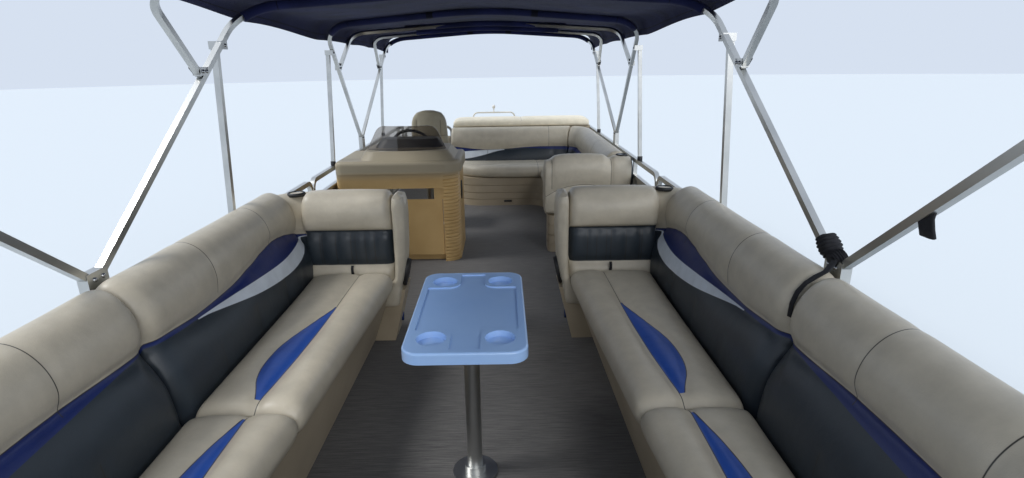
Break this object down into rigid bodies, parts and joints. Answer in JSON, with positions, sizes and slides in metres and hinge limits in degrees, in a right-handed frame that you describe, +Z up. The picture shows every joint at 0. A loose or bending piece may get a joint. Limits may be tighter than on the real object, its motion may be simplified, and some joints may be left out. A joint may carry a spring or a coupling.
{
  "type": "pontoon boat",
  "caption": "Twin-tube pontoon boat with a fenced flat deck, facing bow settees, cup-holder table, helm console, stern lounge, arched canopy and tilting outboard motor.",
  "frame": {"origin": "centre of the overall box in plan, at the underside of the keels", "axes": "+X to port, +Y aft, +Z up"},
  "size_m": [2.59, 9.5798, 2.7332],
  "materials": {
    "tube_aluminium": "mill finish, lightly oxidised",
    "frame_aluminium": "satin anodised square tube",
    "trim_aluminium": "extruded rub rail",
    "plywood": "marine plywood",
    "floor_vinyl": "woven vinyl floor, grey-brown",
    "panel_paint": "painted fence sheet",
    "moulded_tan": "rotomoulded polyethylene",
    "tan_vinyl": "marine vinyl over foam",
    "smoked_acrylic": "smoked acrylic",
    "black_rubber": "black grip",
    "black_plastic": "black moulded",
    "table_plastic": "white moulded plastic",
    "canvas_navy": "woven acrylic canvas",
    "motor_black": "painted cowl and castings",
    "prop_metal": "polished steel"
  },
  "bodies": {
    "boat": {"pontoon_port": "tube_aluminium", "pontoon_starboard": "tube_aluminium", "tow_eyes": "tube_aluminium", "deck_brackets": "tube_aluminium", "cross_members": "tube_aluminium", "deck_panel": "plywood", "floor_cover": "floor_vinyl", "deck_trim": "trim_aluminium", "motor_pod": "tube_aluminium", "fence_port": "frame_aluminium", "fence_starboard": "frame_aluminium", "fence_bow": "frame_aluminium", "fence_stern": "frame_aluminium", "fence_panels": "panel_paint", "settee_bases": "moulded_tan", "settee_seats": "tan_vinyl", "settee_backs": "tan_vinyl", "settee_end_backs": "tan_vinyl", "lounge_base": "moulded_tan", "lounge_seats": "tan_vinyl", "lounge_backs": "tan_vinyl", "lounge_end_back": "tan_vinyl", "sundeck_base": "moulded_tan", "sunpad": "tan_vinyl", "console_shell": "moulded_tan", "windshield": "smoked_acrylic", "dash_cover": "black_plastic", "helm_column": "black_plastic", "throttle": "black_plastic", "chair_pedestal": "frame_aluminium", "table_leg": "frame_aluminium", "canopy_mounts": "frame_aluminium", "canopy_stays": "frame_aluminium", "canopy_clips": "black_plastic", "front_bows": "frame_aluminium", "front_arms": "frame_aluminium", "rear_bows": "frame_aluminium", "rear_arms": "frame_aluminium", "canopy": "canvas_navy", "outboard_clamp": "motor_black", "ladder_bracket": "frame_aluminium"},
    "gate_port": {"gate_port": "frame_aluminium"},
    "gate_starboard": {"gate_starboard": "frame_aluminium"},
    "gate_bow": {"gate_bow": "frame_aluminium"},
    "gate_stern": {"gate_stern": "frame_aluminium"},
    "console_door": {"console_door": "moulded_tan"},
    "helm_wheel": {"helm_wheel": "black_rubber"},
    "helm_chair": {"chair_shell": "moulded_tan", "chair_seat": "tan_vinyl", "chair_back": "tan_vinyl"},
    "table_top": {"table_top": "table_plastic"},
    "motor_swivel": {"outboard_swivel": "motor_black"},
    "motor": {"outboard_leg": "motor_black", "outboard_cowl": "motor_black", "outboard_gearcase": "motor_black"},
    "propeller": {"propeller": "prop_metal"},
    "ladder": {"ladder": "frame_aluminium"}
  },
  "joints": [
    {"name": "gate_bow_swing", "type": "hinge", "parent": "boat", "child": "gate_bow", "pos_m": [-0.376, -4.13689, 0.765], "axis": [0, 0, 1], "range_deg": [0, 90]},
    {"name": "gate_port_swing", "type": "hinge", "parent": "boat", "child": "gate_port", "pos_m": [1.226, -1.14689, 0.765], "axis": [0, 0, 1], "range_deg": [0, 90]},
    {"name": "gate_starboard_swing", "type": "hinge", "parent": "boat", "child": "gate_starboard", "pos_m": [-1.226, -1.14689, 0.765], "axis": [0, 0, -1], "range_deg": [0, 90]},
    {"name": "gate_stern_swing", "type": "hinge", "parent": "boat", "child": "gate_stern", "pos_m": [-1.176, 3.10111, 0.765], "axis": [0, 0, -1], "range_deg": [0, 90]},
    {"name": "console_door_swing", "type": "hinge", "parent": "boat", "child": "console_door", "pos_m": [-1.052, -0.00289, 0.765], "axis": [0, 0, -1], "range_deg": [0, 95]},
    {"name": "helm_chair_swivel", "type": "hinge", "parent": "boat", "child": "helm_chair", "pos_m": [-0.61, 1.14411, 0.765], "axis": [0, 0, 1], "continuous": true},
    {"name": "table_turn", "type": "hinge", "parent": "boat", "child": "table_top", "pos_m": [0, -2.59089, 0.765], "axis": [0, 0, 1], "continuous": true},
    {"name": "motor_tilt", "type": "hinge", "parent": "boat", "child": "motor_swivel", "pos_m": [0, 3.71411, 0.84], "axis": [1, 0, 0], "range_deg": [-68, 0]},
    {"name": "motor_steer", "type": "hinge", "parent": "motor_swivel", "child": "motor", "pos_m": [0, 3.76233, 0.93887], "axis": [0, -0.8988, 0.4384], "range_deg": [-30, 30]},
    {"name": "propeller_spin", "type": "hinge", "parent": "motor", "child": "propeller", "pos_m": [0, 4.6639, 0.94418], "axis": [0, 0.4384, 0.8988], "continuous": true},
    {"name": "helm_wheel_turn", "type": "hinge", "parent": "boat", "child": "helm_wheel", "pos_m": [-0.7, 0.70911, 1.642], "axis": [0, 0.848, 0.5299], "range_deg": [-540, 540]},
    {"name": "ladder_fold", "type": "hinge", "parent": "boat", "child": "ladder", "pos_m": [0, 3.56311, 0.789], "axis": [-1, 0, 0], "range_deg": [0, 186]}
  ],
  "couplings": [
    {"joint": "helm_wheel_turn", "follows": "motor_steer", "ratio": 18}
  ]
}
